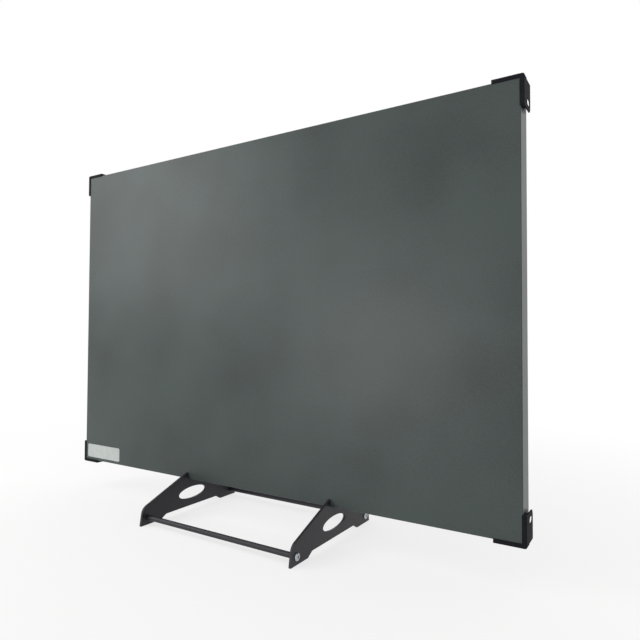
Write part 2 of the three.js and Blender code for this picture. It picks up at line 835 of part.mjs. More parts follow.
// The earth stud is welded to the cover's inner face and points forward, with a nut near its end.
function earthNut() {
  const nut = prism(hexagon(earthNutAcrossFlats), earthNutHeight, toward.minusY);
  const bore = cylinder(earthStudRadius + fit, -over, earthNutHeight + over, toward.minusY, smallSides);
  return cut(nut, bore).translate(0, leadPlane + earthNutHeight / 2, 0);
}

function frontLabel() {
  const shape = outline([
    [0, 0, labelCornerRadius],
    [labelWidth, 0, labelCornerRadius],
    [labelWidth, labelHeight, labelCornerRadius],
    [0, labelHeight, labelCornerRadius],
  ]);
  return prism(shape, labelThickness, toward.minusY)
    .translate(labelFromSide - halfWidth, 0, labelFromBottom);
}

function addLayers(panel) {
  place(panel, "front_insulating_film", layer(filmMargin, filmFront, heaterFront), clearFilm);
  place(panel, "heating_film", layer(heaterMargin, heaterFront, busbarFront), carbonFilm);
  place(panel, "busbar_left", busbar(-1), copper);
  place(panel, "busbar_right", busbar(1), copper);
  place(panel, "rear_insulating_film",
    cut(layer(filmMargin, rearFilmFront, foilFront), ...connectionHoles()), clearFilm);
  place(panel, "reflector_foil",
    cut(layer(filmMargin, foilFront, insulationFront), ...connectionHoles()), aluminiumFoil);
  place(panel, "insulation_board", insulationBoard(), mineralWool);
  place(panel, "stiffening_channel_left", channel(), galvanised, [-channelSpacing / 2, 0, 0]);
  place(panel, "stiffening_channel_right", channel(), galvanised, [channelSpacing / 2, 0, 0]);
  place(panel, "thermal_cutout", thermalCutout(), aluminiumFoil, [0, 0, cutoutHeight]);
}

function addWiring(panel) {
  const finishes = {
    live_lead: brownWire,
    cutout_lead: brownWire,
    neutral_lead: blueWire,
    earth_lead: greenWire,
  };
  for (const [name, route] of Object.entries(leadRoutes())) place(panel, name, wire(route), finishes[name]);
  const studX = boxCentreX + earthFromBox;
  place(panel, "earth_stud",
    cylinder(earthStudRadius, -coverFront, earthStudLength - coverFront, toward.minusY, smallSides),
    galvanised, [studX, 0, earthHeight]);
  place(panel, "earth_nut", earthNut(), galvanised, [studX, 0, earthHeight]);
  place(panel, "terminal_block", terminalBlock(), whiteNylon);
  for (const [name, pole] of [["live", -1], ["earth", 0], ["neutral", 1]]) {
    const screwPlace = [poleX(pole), 0, terminalScrewZ];
    place(panel, `terminal_screw_${name}`, terminalScrew(), brass, screwPlace);
  }
}

function addJunctionBox(panel) {
  const gasket = cut(boxBlock(0, boxRim, lidFront), boxBlock(gasketWidth, boxRim - over, lidFront + over));
  place(panel, "junction_box_base", boxBase(), blackNylon);
  place(panel, "junction_box_gasket", gasket, rubber);
  place(panel, "junction_box_lid", boxLid(), blackNylon);
  place(panel, "cable_inlet", cableInlet(), rubber);
  place(panel, "cable_clamp", cableClamp(), blackNylon);
  const clampBack = boxFloor + clampBossHeight + clampBarThickness;
  const rows = [
    ["lid_screw", postPlaces(), lidBack, lidScrewLength],
    ["box_fixing_screw", boxScrewPlaces(), boxFloor, boxScrewLength],
    ["clamp_screw", clampPlaces(), clampBack, clampScrewLength],
  ];
  for (const [name, places, back, length] of rows) {
    places.forEach(([x, z], i) => {
      place(panel, `${name}_${["left", "right"][i]}`, screw(length, toward.y), zincSteel, [x, back, z]);
    });
  }
}

function addCasing(panel) {
  place(panel, "front_tray", frontTray(), powderCoatGrey);
  place(panel, "rear_cover", rearCover(), galvanised);
  coverScrewPlaces().forEach(([x, z], i) => {
    const screwPlace = [x, panelThickness, z];
    place(panel, `cover_screw_${i + 1}`, screw(coverScrewLength, toward.y), zincSteel, screwPlace);
  });
  for (const [name, side, up, turn] of corners) {
    const [x, z] = cornerPlace(side, up, 0);
    place(panel, `corner_bracket_${name}`, cornerBracket(), blackNylon, [x, 0, z], turn);
    const [screwX, screwZ] = cornerPlace(side, up, bracketScrewInset);
    place(panel, `bracket_screw_${name}`, screw(bracketScrewLength, toward.y), zincSteel,
      [screwX, panelThickness + bracketFlange, screwZ]);
  }
  place(panel, "front_label", frontLabel(), labelPaper);
}

function makePanel() {
  const panel = new THREE.Group();
  panel.position.set(0, -panelSetback, panelBottom);
  addCasing(panel);
  addLayers(panel);
  addWiring(panel);
  addJunctionBox(panel);
  return panel;
}

const heater = new THREE.Group();
heater.add(makeStand(), makePanel());

export default heater;
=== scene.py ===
import json
import math

import bpy
import numpy as np
from mathutils import Matrix, Vector
from mathutils.geometry import tessellate_polygon


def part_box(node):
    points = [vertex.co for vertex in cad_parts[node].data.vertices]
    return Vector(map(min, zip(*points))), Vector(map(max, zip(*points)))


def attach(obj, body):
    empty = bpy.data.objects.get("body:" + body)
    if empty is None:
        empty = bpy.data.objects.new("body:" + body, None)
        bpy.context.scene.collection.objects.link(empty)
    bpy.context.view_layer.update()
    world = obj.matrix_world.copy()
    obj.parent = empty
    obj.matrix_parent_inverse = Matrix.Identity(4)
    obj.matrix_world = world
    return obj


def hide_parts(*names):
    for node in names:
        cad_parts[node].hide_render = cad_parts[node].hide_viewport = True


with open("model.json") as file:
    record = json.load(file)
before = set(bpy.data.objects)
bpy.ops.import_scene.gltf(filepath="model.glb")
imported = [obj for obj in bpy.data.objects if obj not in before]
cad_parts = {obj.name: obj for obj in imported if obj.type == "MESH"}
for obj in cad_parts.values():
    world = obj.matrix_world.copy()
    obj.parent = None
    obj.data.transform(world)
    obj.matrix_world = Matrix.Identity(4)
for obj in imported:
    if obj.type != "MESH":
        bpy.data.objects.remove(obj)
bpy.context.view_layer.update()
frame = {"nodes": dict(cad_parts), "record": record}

# An infrared panel heater on a low two-legged stand, dressed over its CAD frame.
# Sizes in the dictionaries are millimetres; meshes are metres, in the frame's own axes:
# +X right seen from the front, +Y from the front to the back, +Z up.

mm = 0.001
scene = bpy.context.scene
scene.view_settings.view_transform = "Standard"
nodes = frame["nodes"]


# ---------- camera, worked out from the panel's four corners and the stand in the photograph ----------

view = {
    "place": (603.2, -749.4, 324.7),
    "yaw": -32.04,  # degrees; a minus turns it to the left of straight back
    "pitch": 1.58,
    "roll": 0.26,
    "lens": 30.748,
    "sensor": 36.0,
    "clipEnd": 50.0,  # metres
}


def aimCamera():
    yaw, pitch, roll = (math.radians(view[turn]) for turn in ("yaw", "pitch", "roll"))
    ahead = Vector((math.sin(yaw) * math.cos(pitch), math.cos(yaw) * math.cos(pitch), math.sin(pitch)))
    level = Vector((math.cos(yaw), -math.sin(yaw), 0))
    upright = level.cross(ahead)
    right = level * math.cos(roll) + upright * math.sin(roll)
    up = upright * math.cos(roll) - level * math.sin(roll)
    data = bpy.data.cameras.new("camera")
    data.lens = view["lens"]
    data.sensor_width = view["sensor"]
    data.clip_end = view["clipEnd"]
    camera = bpy.data.objects.new("camera", data)
    camera.matrix_world = Matrix.Translation(Vector(view["place"]) * mm) @ Matrix(
        (right, up, -ahead)).transposed().to_4x4()
    scene.collection.objects.link(camera)
    scene.camera = camera


aimCamera()
print("camera placed")


# ---------- surfaces as arrays: a shell is (points, [(faces, smooth)]) ----------

def gridFaces(rows, columns, wrapRows=False):
    # face (i, j) joins rows i and i + 1 with columns j and j + 1; the columns close on themselves
    i, j = np.meshgrid(np.arange(rows if wrapRows else rows - 1), np.arange(columns), indexing="ij")
    nextI, nextJ = (i + 1) % rows, (j + 1) % columns
    faces = [i * columns + j, i * columns + nextJ, nextI * columns + nextJ, nextI * columns + j]
    return np.stack(faces, axis=-1).reshape(-1, 4)


def sixVolumes(points, faces):
    # six times the enclosed volume: the sum of a . (b x c) over the fan of triangles in each face
    total = 0
    for k in range(1, faces.shape[1] - 1):
        a, b, c = points[faces[:, 0]], points[faces[:, k]], points[faces[:, k + 1]]
        total += np.einsum("ij,ij->", a, np.cross(b, c))
    return total


def facingOut(points, parts):
    if sum(sixVolumes(points, faces) for faces, smooth in parts) < 0:
        parts = [(faces[:, ::-1], smooth) for faces, smooth in parts]
    return points, parts


def joined(shells):
    points, parts, count = [], [], 0
    for shellPoints, shellParts in shells:
        points.append(shellPoints)
        parts += [(faces + count, smooth) for faces, smooth in shellParts]
        count += len(shellPoints)
    return np.concatenate(points), parts


def arc(centre, radius, start, end, steps):
    # centre + radius (cos a, sin a), a from start to end in degrees
    turn = np.radians(np.linspace(start, end, steps + 1))
    return np.stack([centre[0] + radius * np.cos(turn), centre[1] + radius * np.sin(turn)], axis=1)


def roundedOutline(corners, steps=8):
    # corners [a, b, radius]: each round touches both sides at radius / tan(half the corner's angle)
    pieces = []
    for i, (a, b, radius) in enumerate(corners):
        here = np.array([a, b], float)
        back = np.array(corners[i - 1][:2], float) - here
        ahead = np.array(corners[(i + 1) % len(corners)][:2], float) - here
        back /= np.linalg.norm(back)
        ahead /= np.linalg.norm(ahead)
        half = math.acos(np.clip(back @ ahead, -1, 1)) / 2
        middle = (back + ahead) / np.linalg.norm(back + ahead)
        centre = here + middle * radius / math.sin(half)
        start = here + back * radius / math.tan(half) - centre
        end = here + ahead * radius / math.tan(half) - centre
        first = math.degrees(math.atan2(start[1], start[0]))
        swing = math.degrees(math.atan2(start[0] * end[1] - start[1] * end[0], start @ end))
        pieces.append(arc(centre, radius, first, first + swing, steps))
    return np.concatenate(pieces)


def loopNormals(loop):
    # the outward mitre of a loop that keeps its material on the left: (n1 + n2) / (1 + n1 . n2)
    ahead = np.roll(loop, -1, axis=0) - loop
    ahead /= np.linalg.norm(ahead, axis=1, keepdims=True)
    after = np.stack([ahead[:, 1], -ahead[:, 0]], axis=1)
    before = np.roll(after, 1, axis=0)
    return (before + after) / (1 + np.sum(before * after, axis=1, keepdims=True))


def roundedEdge(radius, low, high, steps=4):
    # from one face to the other: inset r (1 - sin a) and height low + r (1 - cos a), then the same mirrored
    a = np.radians(np.linspace(0, 90, steps + 1))
    inset = radius * (1 - np.sin(a))
    rise = radius * (1 - np.cos(a))
    return np.concatenate([inset, inset[::-1]]), np.concatenate([low + rise, high - rise[::-1]])


def filled(rings):
    # triangles, turned counterclockwise, that fill the first ring around the others
    flat = np.concatenate(rings)
    found = np.array(tessellate_polygon([[Vector((a, b, 0)) for a, b in ring] for ring in rings]))
    side, other = flat[found[:, 1]] - flat[found[:, 0]], flat[found[:, 2]] - flat[found[:, 0]]
    backward = side[:, 0] * other[:, 1] - side[:, 1] * other[:, 0] < 0
    found[backward] = found[backward][:, ::-1]
    return found


def plateShell(outer, holes, low, high, edge, axes):
    # a plate between two heights: each loop carries a rounded edge, and its last rings bound the two faces
    inset, height = roundedEdge(edge, low, high)
    points, parts, bottom, top, count = [], [], [], [], 0
    for loop in [outer] + holes:
        rows, columns = len(inset), len(loop)
        ring = loop[None] - loopNormals(loop)[None] * inset[:, None, None]
        level = np.broadcast_to(height[:, None, None], (rows, columns, 1))
        points.append(np.concatenate([ring, level], axis=2).reshape(-1, 3))
        parts.append((gridFaces(rows, columns) + count, True))
        bottom.append(np.arange(columns) + count)
        top.append(np.arange(columns) + count + (rows - 1) * columns)
        count += rows * columns
    points = np.concatenate(points)
    cap = filled([points[ring][:, :2] for ring in top])
    parts.append((np.concatenate(top)[cap], False))
    parts.append((np.concatenate(bottom)[cap][:, ::-1], False))
    return facingOut(points[:, axes] * mm, parts)


# which of a plate's own two axes and height stand for x, y and z, where its height runs along x or y
alongX = [2, 0, 1]
alongY = [0, 2, 1]

# by how many places a turned shape's coordinates roll, so that its own axis lies along x or y
aboutX = 1
aboutY = 2
quarterTurn = np.radians(np.linspace(0, 90, 7))  # the angles of a quarter round


def turnedShell(profile, sides, place, axis, shape=None):
    # profile [radius, height] turned about an axis; shape(angle, radius) bends the rings from round
    profile = np.array(profile, float)
    rows = len(profile)
    angle = np.linspace(0, 2 * math.pi, sides, endpoint=False)
    radius = np.repeat(profile[:, :1], sides, axis=1)
    if shape is not None:
        radius = shape(angle, radius)
    height = np.repeat(profile[:, 1:], sides, axis=1)
    rings = np.stack([radius * np.cos(angle), radius * np.sin(angle), height], axis=2).reshape(-1, 3)
    points = np.concatenate([rings, [[0, 0, profile[0, 1]], [0, 0, profile[-1, 1]]]])
    first = np.arange(sides)
    last = (rows - 1) * sides + first
    tips = np.full(sides, rows * sides), np.full(sides, rows * sides + 1)
    parts = [
        (gridFaces(rows, sides), True),
        (np.stack([np.roll(first, -1), first, tips[0]], axis=1), True),
        (np.stack([last, np.roll(last, -1), tips[1]], axis=1), True),
    ]
    return facingOut(np.roll(points, axis, axis=1) * mm + place, parts)


def rectangleRings(width, height, radii, insets, steps=5):
    # a rounded rectangle about its middle for every inset, all with the same number of points
    corner = np.repeat([0, 90, 180, 270], steps + 1) + np.tile(np.linspace(0, 90, steps + 1), 4)
    turn = np.radians(corner)
    signX = np.repeat([1, -1, -1, 1], steps + 1)
    signZ = np.repeat([1, 1, -1, -1], steps + 1)
    radius = np.asarray(radii, float)[:, None]
    inset = np.asarray(insets, float)[:, None]
    a = signX * (width / 2 - inset - radius) + radius * np.cos(turn)
    b = signZ * (height / 2 - inset - radius) + radius * np.sin(turn)
    return a, b


def ringShell(a, b, depth, middle):
    # rings of x and z at each depth, closed at both ends by a flat face
    rows, columns = a.shape
    level = np.repeat(np.asarray(depth, float)[:, None], columns, axis=1)
    points = np.stack([a + middle[0], level, b + middle[1]], axis=2).reshape(-1, 3) * mm
    first = np.arange(columns)[None]
    last = first + (rows - 1) * columns
    return facingOut(points, [(gridFaces(rows, columns), True), (first[:, ::-1], False), (last, False)])


sharpAngle = math.radians(40)  # an edge that turns by more stays crisp


def meshOf(name, shell):
    points, parts = shell
    mesh = bpy.data.meshes.new(name)
    mesh.from_pydata(points.tolist(), [], [face for part, smooth in parts for face in part.tolist()])
    return mesh


def addPiece(name, shell, body, material, replaced=()):
    mesh = meshOf(name, shell)
    flags = np.concatenate([np.full(len(part), smooth) for part, smooth in shell[1]])
    mesh.polygons.foreach_set("use_smooth", flags)
    mesh.set_sharp_from_angle(angle=sharpAngle)
    mesh.update()
    piece = bpy.data.objects.new(name, mesh)
    scene.collection.objects.link(piece)
    mesh.materials.append(material)
    even = piece.modifiers.new("even normals", "WEIGHTED_NORMAL")  # flat faces stay flat beside their rounds
    even.keep_sharp = True
    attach(piece, body)
    if replaced:
        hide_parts(*replaced)
    return piece


def cutAway(piece, shells):
    # the piece less each shell, with the result kept as its mesh
    even = piece.modifiers["even normals"]
    even.show_viewport = False
    for shell in shells:
        mesh = meshOf("cutter", shell)
        cutter = bpy.data.objects.new("cutter", mesh)
        scene.collection.objects.link(cutter)
        change = piece.modifiers.new("cut", "BOOLEAN")
        change.operation = "DIFFERENCE"
        change.solver = "EXACT"
        change.object = cutter
        bpy.context.view_layer.update()
        evaluated = piece.evaluated_get(bpy.context.evaluated_depsgraph_get())
        piece.data = bpy.data.meshes.new_from_object(evaluated)
        piece.modifiers.remove(change)
        bpy.data.objects.remove(cutter)
        bpy.data.meshes.remove(mesh)
    even.show_viewport = True
    piece.data.set_sharp_from_angle(angle=sharpAngle)


def middleOf(node):
    low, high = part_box(node)
    return (np.array(low) + np.array(high)) / 2 / mm


def extentOf(node, axis):
    low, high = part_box(node)
    return low[axis] / mm, high[axis] / mm


def boxOf(node):
    # (left, right), (front, back) and (low, high)
    return [extentOf(node, axis) for axis in range(3)]


def rectangleShell(node, radii, insets, depth, steps=5):
    # rings of a rounded rectangle over the node's box, each inset from its sides, at each depth
    (left, right), _, (low, high) = boxOf(node)
    a, b = rectangleRings(right - left, high - low, radii, insets, steps)
    return ringShell(a, b, depth, ((left + right) / 2, (low + high) / 2))


print("surface functions ready")


# ---------- materials ----------

def linear(hexColour):
    # sRGB to linear: c / 12.92 up to 0.04045, ((c + 0.055) / 1.055) ** 2.4 above
    channels = np.array([int(hexColour[i:i + 2], 16) for i in (1, 3, 5)]) / 255
    low = channels / 12.92
    high = ((channels + 0.055) / 1.055) ** 2.4
    return tuple(np.where(channels <= 0.04045, low, high)) + (1,)


def addNode(tree, kind, settings=None, links=None):
    # settings are properties, or inputs by name or number; links are inputs fed by another node's socket
    node = tree.nodes.new(kind)
    for key, value in (settings or {}).items():
        if isinstance(key, int) or (key in node.inputs and not hasattr(node, key)):
            node.inputs[key].default_value = value
        else:
            setattr(node, key, value)
    for key, socket in (links or {}).items():
        tree.links.new(socket, node.inputs[key])
    return node


def newMaterial(name, settings):
    # where a finish spreads its roughness by a pattern, the plain value in its settings lies in that range
    material = bpy.data.materials.new(name)
    material.use_nodes = True
    tree = material.node_tree
    shader = tree.nodes["Principled BSDF"]
    for key, value in settings.items():
        shader.inputs[key].default_value = value
    place = addNode(tree, "ShaderNodeTexCoord").outputs["Object"]
    return material, tree, shader, place


def feed(tree, shader, sockets):
    for key, socket in sockets.items():
        tree.links.new(socket, shader.inputs[key])


def colourRamp(tree, factor, *stops):
    ramp = addNode(tree, "ShaderNodeValToRGB", links={"Fac": factor})
    for element, (position, colour) in zip(ramp.color_ramp.elements, stops):
        element.position = position
        element.color = linear(colour)
    return ramp.outputs["Color"]


def noise(tree, place, spacing, detail, roughness=0.5):
    # lumps this many millimetres apart, with finer ones between them
    settings = {"Scale": 1 / (spacing * mm), "Detail": detail, "Roughness": roughness}
    return addNode(tree, "ShaderNodeTexNoise", settings, {"Vector": place}).outputs["Fac"]


def spread(tree, factor, least, most):
    # the factor's 0 to 1 brought to another range
    node = addNode(tree, "ShaderNodeMapRange", {"To Min": least, "To Max": most}, {"Value": factor})
    return node.outputs["Result"]


def relief(tree, height, strength, distance, under=None):
    # a bump this many millimetres high, over another normal where one is given
    links = {"Height": height}
    if under is not None:
        links["Normal"] = under
    bump = addNode(tree, "ShaderNodeBump", {"Strength": strength, "Distance": distance * mm}, links)
    return bump.outputs["Normal"]


def greyPowderCoat():
    # Polyester powder coat, fine-textured and satin, sprayed and baked on steel sheet. The eye sees a greenish
    # anthracite grey whose reflections are wide and soft, broken up by a fine grain.
    material, tree, shader, place = newMaterial("polyester powder coat, fine-textured grey", {
        "Metallic": 0.0,
        "IOR": 1.5,
        "Roughness": 0.36,
        "Specular IOR Level": 0.27,
    })
    grain = noise(tree, place, 2.0, 3.0, 0.6)
    cloud = noise(tree, place, 180, 2.0)  # slow drift of the shade over the sheet
    wave = noise(tree, place, 260, 1.0, 0.4)  # the sheet's own slight waviness
    both = addNode(tree, "ShaderNodeMath", {"operation": "MULTIPLY_ADD", 1: 0.7}, {0: grain, 2: cloud})
    feed(tree, shader, {
        "Base Color": colourRamp(tree, both.outputs["Value"], (0.5, "#333937"), (1.0, "#414a48")),
        "Roughness": spread(tree, grain, 0.31, 0.4),
        "Normal": relief(tree, grain, 0.3, 0.25, relief(tree, wave, 0.12, 1.2)),
    })
    return material


def blackPowderCoat():
    # Epoxy-polyester powder coat, satin black, on laser-cut steel plate. The eye sees a near-black with a
    # violet cast, a soft sheen along the edges and the faint orange peel of the baked film.
    material, tree, shader, place = newMaterial("epoxy-polyester powder coat, satin black", {
        "Metallic": 0.0,
        "IOR": 1.5,
        "Roughness": 0.45,
        "Specular IOR Level": 0.35,
    })
    peel = noise(tree, place, 1.6, 2.0)
    patch = noise(tree, place, 45, 3.0)
    feed(tree, shader, {
        "Base Color": colourRamp(tree, patch, (0.3, "#1c1b20"), (0.75, "#26242b")),
        "Roughness": spread(tree, patch, 0.36, 0.56),
        "Normal": relief(tree, peel, 0.18, 0.15),
    })
    return material


def mouldedNylon():
    # Glass-filled nylon, moulded in a spark-eroded tool. The eye sees a matt black with a cold cast and an
    # even, very fine grain.
    material, tree, shader, place = newMaterial("glass-filled nylon, moulded black", {
        "Metallic": 0.0,
        "IOR": 1.53,
        "Roughness": 0.75,
        "Specular IOR Level": 0.1,
    })
    spark = addNode(tree, "ShaderNodeTexVoronoi", {"Scale": 1 / (0.8 * mm)}, {"Vector": place})
    patch = noise(tree, place, 14, 3.0)
    feed(tree, shader, {
        "Base Color": colourRamp(tree, patch, (0.3, "#121317"), (0.75, "#191a1f")),
        "Normal": relief(tree, spark.outputs["Distance"], 0.3, 0.08),
    })
    return material


def boxPlastic():
    # Flame-retardant ABS, moulded with a fine leather-like texture. The eye sees a slightly softer black than
    # the brackets, with small blurred highlights on its rounded edges.
    material, tree, shader, place = newMaterial("flame-retardant ABS, moulded black", {
        "Metallic": 0.0,
        "IOR": 1.54,
        "Roughness": 0.5,
        "Specular IOR Level": 0.35,
    })
    hide = addNode(tree, "ShaderNodeTexVoronoi", {"Scale": 1 / (1.1 * mm), "feature": "DISTANCE_TO_EDGE"},
        {"Vector": place})
    patch = noise(tree, place, 30, 2.0)
    feed(tree, shader, {
        "Base Color": colourRamp(tree, patch, (0.3, "#17181a"), (0.8, "#1e1f22")),
        "Normal": relief(tree, hide.outputs["Distance"], 0.25, 0.1),
    })
    return material


def mouldedRubber():
    # EPDM rubber, moulded. The eye sees a flat dark grey with a powdery bloom.
    material, tree, shader, place = newMaterial("EPDM rubber, moulded", {
        "Metallic": 0.0,
        "IOR": 1.52,
        "Roughness": 0.8,
        "Specular IOR Level": 0.3,
    })
    bloom = noise(tree, place, 3, 4.0)
    feed(tree, shader, {
        "Base Color": colourRamp(tree, bloom, (0.35, "#191919"), (0.8, "#262626")),
        "Normal": relief(tree, bloom, 0.2, 0.1),
    })
    return material


def zincPlating():
    # Cold-headed steel, bright zinc plated. The eye sees a bluish silver with a slightly uneven shine.
    material, tree, shader, place = newMaterial("steel, bright zinc plated", {
        "Metallic": 1.0,
        "Roughness": 0.3,
    })
    patch = noise(tree, place, 2.5, 4.0)
    feed(tree, shader, {
        "Base Color": colourRamp(tree, patch, (0.3, "#9da1a6"), (0.75, "#c6c9cc")),
        "Roughness": spread(tree, patch, 0.22, 0.42),
        "Normal": relief(tree, patch, 0.1, 0.05),
    })
    return material


def galvanisedSheet():
    # Hot-dip galvanised steel sheet. The eye sees pale grey metal with small spangle: flat crystals under a
    # centimetre across, each with a slightly different shade and shine.
    material, tree, shader, place = newMaterial("steel sheet, hot-dip galvanised", {
        "Metallic": 1.0,
        "Roughness": 0.42,
    })
    spangle = addNode(tree, "ShaderNodeTexVoronoi", {"Scale": 1 / (7 * mm)}, {"Vector": place})
    shade = addNode(tree, "ShaderNodeSeparateColor", links={"Color": spangle.outputs["Color"]})
    flow = noise(tree, place, 4, 3.0)
    feed(tree, shader, {
        "Base Color": colourRamp(tree, shade.outputs["Red"], (0.0, "#9ea2a5"), (1.0, "#adb1b3")),
        "Roughness": spread(tree, shade.outputs["Green"], 0.42, 0.52),
        "Normal": relief(tree, flow, 0.08, 0.1),
    })
    return material


def plainFinish(name, settings, dark, light, spacing, bump):
    # a finish with mottled colour and fine relief, its spacing and height in millimetres
    material, tree, shader, place = newMaterial(name, settings)
    patch = noise(tree, place, spacing, 4.0)
    feed(tree, shader, {
        "Base Color": colourRamp(tree, patch, (0.3, dark), (0.75, light)),
        "Normal": relief(tree, patch, 0.2, bump),
    })
    return material


materials = {
    "grey_powder_coat": greyPowderCoat(),
    "black_powder_coat": blackPowderCoat(),
    "black_nylon": mouldedNylon(),
    "black_box_plastic": boxPlastic(),
    "black_rubber": mouldedRubber(),
    "zinc_plated_steel": zincPlating(),
    "galvanised_steel": galvanisedSheet(),
    # a pale, cool grey without gloss
    "printed_film": plainFinish("polyester film, matt laminated", {"Roughness": 0.45, "IOR": 1.55},
        "#a6aba9", "#b2b6b4", 9, 0.02),
    # honey-coloured and shiny
    "polyester_film": plainFinish("polyester film, clear amber", {"Roughness": 0.25, "IOR": 1.6},
        "#bda867", "#d2bd7c", 20, 0.05),
    # dull soot black with the print's faint mottle
    "carbon_film": plainFinish("carbon ink, screen-printed on film", {"Roughness": 0.6, "IOR": 1.6},
        "#141414", "#222222", 5, 0.05),
    # warm red metal, a little stained
    "copper": plainFinish("copper strip, rolled", {"Roughness": 0.3, "Metallic": 1.0},
        "#b06a44", "#d08d63", 6, 0.03),
    # bright white metal, softly crumpled
    "aluminium": plainFinish("aluminium foil, bright rolled", {"Roughness": 0.25, "Metallic": 1.0},
        "#c4c7c9", "#dfe1e2", 8, 0.2),
    # matt straw yellow with a fibrous relief
    "mineral_wool": plainFinish("mineral wool board, pressed", {"Roughness": 0.95, "IOR": 1.45},
        "#a8955a", "#c9b87c", 1.5, 0.6),
    # the leads: brown, blue, and green fading to yellow, all with a waxy half shine
    "brown_silicone": plainFinish("silicone insulation, extruded brown", {"Roughness": 0.5, "IOR": 1.42},
        "#5a331b", "#6e4023", 3, 0.02),
    "blue_silicone": plainFinish("silicone insulation, extruded blue", {"Roughness": 0.5, "IOR": 1.42},
        "#25508f", "#2f62a8", 3, 0.02),
    "green_silicone": plainFinish("silicone insulation, extruded green", {"Roughness": 0.5, "IOR": 1.42},
        "#4f8a30", "#d0b43a", 4, 0.02),
    # ivory with a soft sheen
    "white_nylon": plainFinish("nylon, moulded natural white", {"Roughness": 0.5, "IOR": 1.53},
        "#d6d3c8", "#e8e5db", 5, 0.03),
    # yellow metal, lightly dulled
    "brass": plainFinish("brass, turned", {"Roughness": 0.3, "Metallic": 1.0},
        "#b39446", "#d2b467", 2, 0.02),
}
slotOf = {entry["node"]: entry["material_slot"] for entry in frame["record"]["subparts"]}
standNodes = set(frame["record"]["behaviour"]["bodies"]["stand"])
for nodeName, node in nodes.items():
    node.data.materials.clear()
    node.data.materials.append(materials[slotOf[nodeName]])
print("materials made:", len(materials))


def camelCase(nodeName):
    first, *rest = nodeName.split("_")
    return first + "".join(word.title() for word in rest)


def dressed(nodeName, shell, pieceName=None):
    # a finer piece over a CAD node, on the same body and with the same finish
    body = "stand" if nodeName in standNodes else "panel"
    slotName = slotOf[nodeName]
    return addPiece(pieceName or camelCase(nodeName), shell, body, materials[slotName], [nodeName])


# ---------- stand ----------

leg = {
    "depth": 240.0,
    "foot": 44.0,
    "archHeight": 7.0,
    "archRamp": 12.0,
    "archRound": 2.0,
    "lean": 9.0,  # degrees, of the front and back edges
    "slope": 21.5,  # degrees, of the long diagonals
    "shoulderRadius": 15.0,
    "lipHeight": 12.0,
    "slotClearance": 0.75,
    "window": (68.0, 21.0),
    "windowHeight": 30.5,
    "edge": 0.45,
    "corner": 0.8,  # the small round that laser cutting and coating leave on a sharp corner
}


def legOutline():
    # [depth, height, round], from the front foot along the floor to the back and over the top to the front
    front, back = extentOf("front_tray", 1)[0] - leg["slotClearance"], extentOf("rear_cover", 1)[1]
    back += leg["slotClearance"]
    floor = extentOf("front_tray", 2)[0]
    half = leg["depth"] / 2
    lean, slope = math.tan(math.radians(leg["lean"])), math.tan(math.radians(leg["slope"]))
    lipTop = floor + leg["lipHeight"]
    shoulderHeight = (lipTop - slope * (half + front)) / (1 - slope * lean)
    shoulder = half - lean * shoulderHeight
    rearLip = lipTop - slope * (back + front)
    inner = half - leg["foot"]
    small = leg["corner"]
    return roundedOutline([
        [-half, 0, small],
        [-inner, 0, small],
        [leg["archRamp"] - inner, leg["archHeight"], leg["archRound"]],
        [inner - leg["archRamp"], leg["archHeight"], leg["archRound"]],
        [inner, 0, small],
        [half, 0, small],
        [shoulder, shoulderHeight, leg["shoulderRadius"]],
        [back, rearLip, small],
        [back, floor, small],
        [front, floor, small],
        [front, lipTop, small],
        [-shoulder, shoulderHeight, leg["shoulderRadius"]],
    ])


def ellipse(size, height, steps=72):
    # half-axes times (cos a, sin a), run clockwise because it bounds a hole
    turn = np.linspace(0, -2 * math.pi, steps, endpoint=False)
    return np.stack([size[0] / 2 * np.cos(turn), height + size[1] / 2 * np.sin(turn)], axis=1)


for side in ("left", "right"):
    low, high = extentOf(f"{side}_leg", 0)
    window = ellipse(leg["window"], leg["windowHeight"])
    shell = plateShell(legOutline(), [window], low, high, leg["edge"], alongX)
    dressed(f"{side}_leg", shell, f"{side}LegPlate")

rod = {"radius": 4.25, "chamfer": 0.6, "sides": 48}


def rodShell(node):
    low, high = extentOf(node, 0)
    radius, chamfer = rod["radius"], rod["chamfer"]
    tip = radius - chamfer
    profile = [[tip, low], [radius, low + chamfer], [radius, high - chamfer], [tip, high]]
    place = np.array([0, *(middleOf(node)[1:] * mm)])
    return turnedShell(profile, rod["sides"], place, aboutX)


for node in ("front_cross_rod", "rear_cross_rod"):
    dressed(node, rodShell(node))


# ---------- screws: one turned shape whose inner rings bend to the recess ----------

buttonHead = {
    "radius": 5.75,
    "height": 3.0,
    "shank": 2.2,
    "length": 18.0,
    "recess": 2.25,  # depth
    "flats": 4.0,
    "sides": 60,
}
panHead = {
    "radius": 3.4,
    "height": 1.8,
    "shank": 1.5,
    "length": 4.0,
    "recess": 1.1,
    "armHalf": 0.42,
    "armReach": 1.9,
    "sides": 96,
}
headForm = {
    "rim": 0.25,  # bevel under the rim
    "domeFoot": 0.3,  # share of the head's height below the dome
    "domeEnd": 62.0,  # degrees, of the dome's arc up to the recess
    "mouth": 1.06,  # the recess's outline widens so much at its mouth
    "mouthDepth": 0.12,
    "taper": 0.9,  # and narrows so much at its floor
}


def hexagonRing(angle):
    # distance to a hexagon's side: half the flats / cos(angle from the nearest side's middle)
    nearest = (angle + math.pi / 6) % (math.pi / 3) - math.pi / 6
    return buttonHead["flats"] / 2 / np.cos(nearest)


def crossRing(angle):
    # a cross seen from its middle: half the arm / |sin(angle from the arm)|, cut off at the arm's reach
    nearest = (angle + math.pi / 4) % (math.pi / 2) - math.pi / 4
    return np.minimum(panHead["armReach"], panHead["armHalf"] / np.maximum(np.abs(np.sin(nearest)), 1e-3))


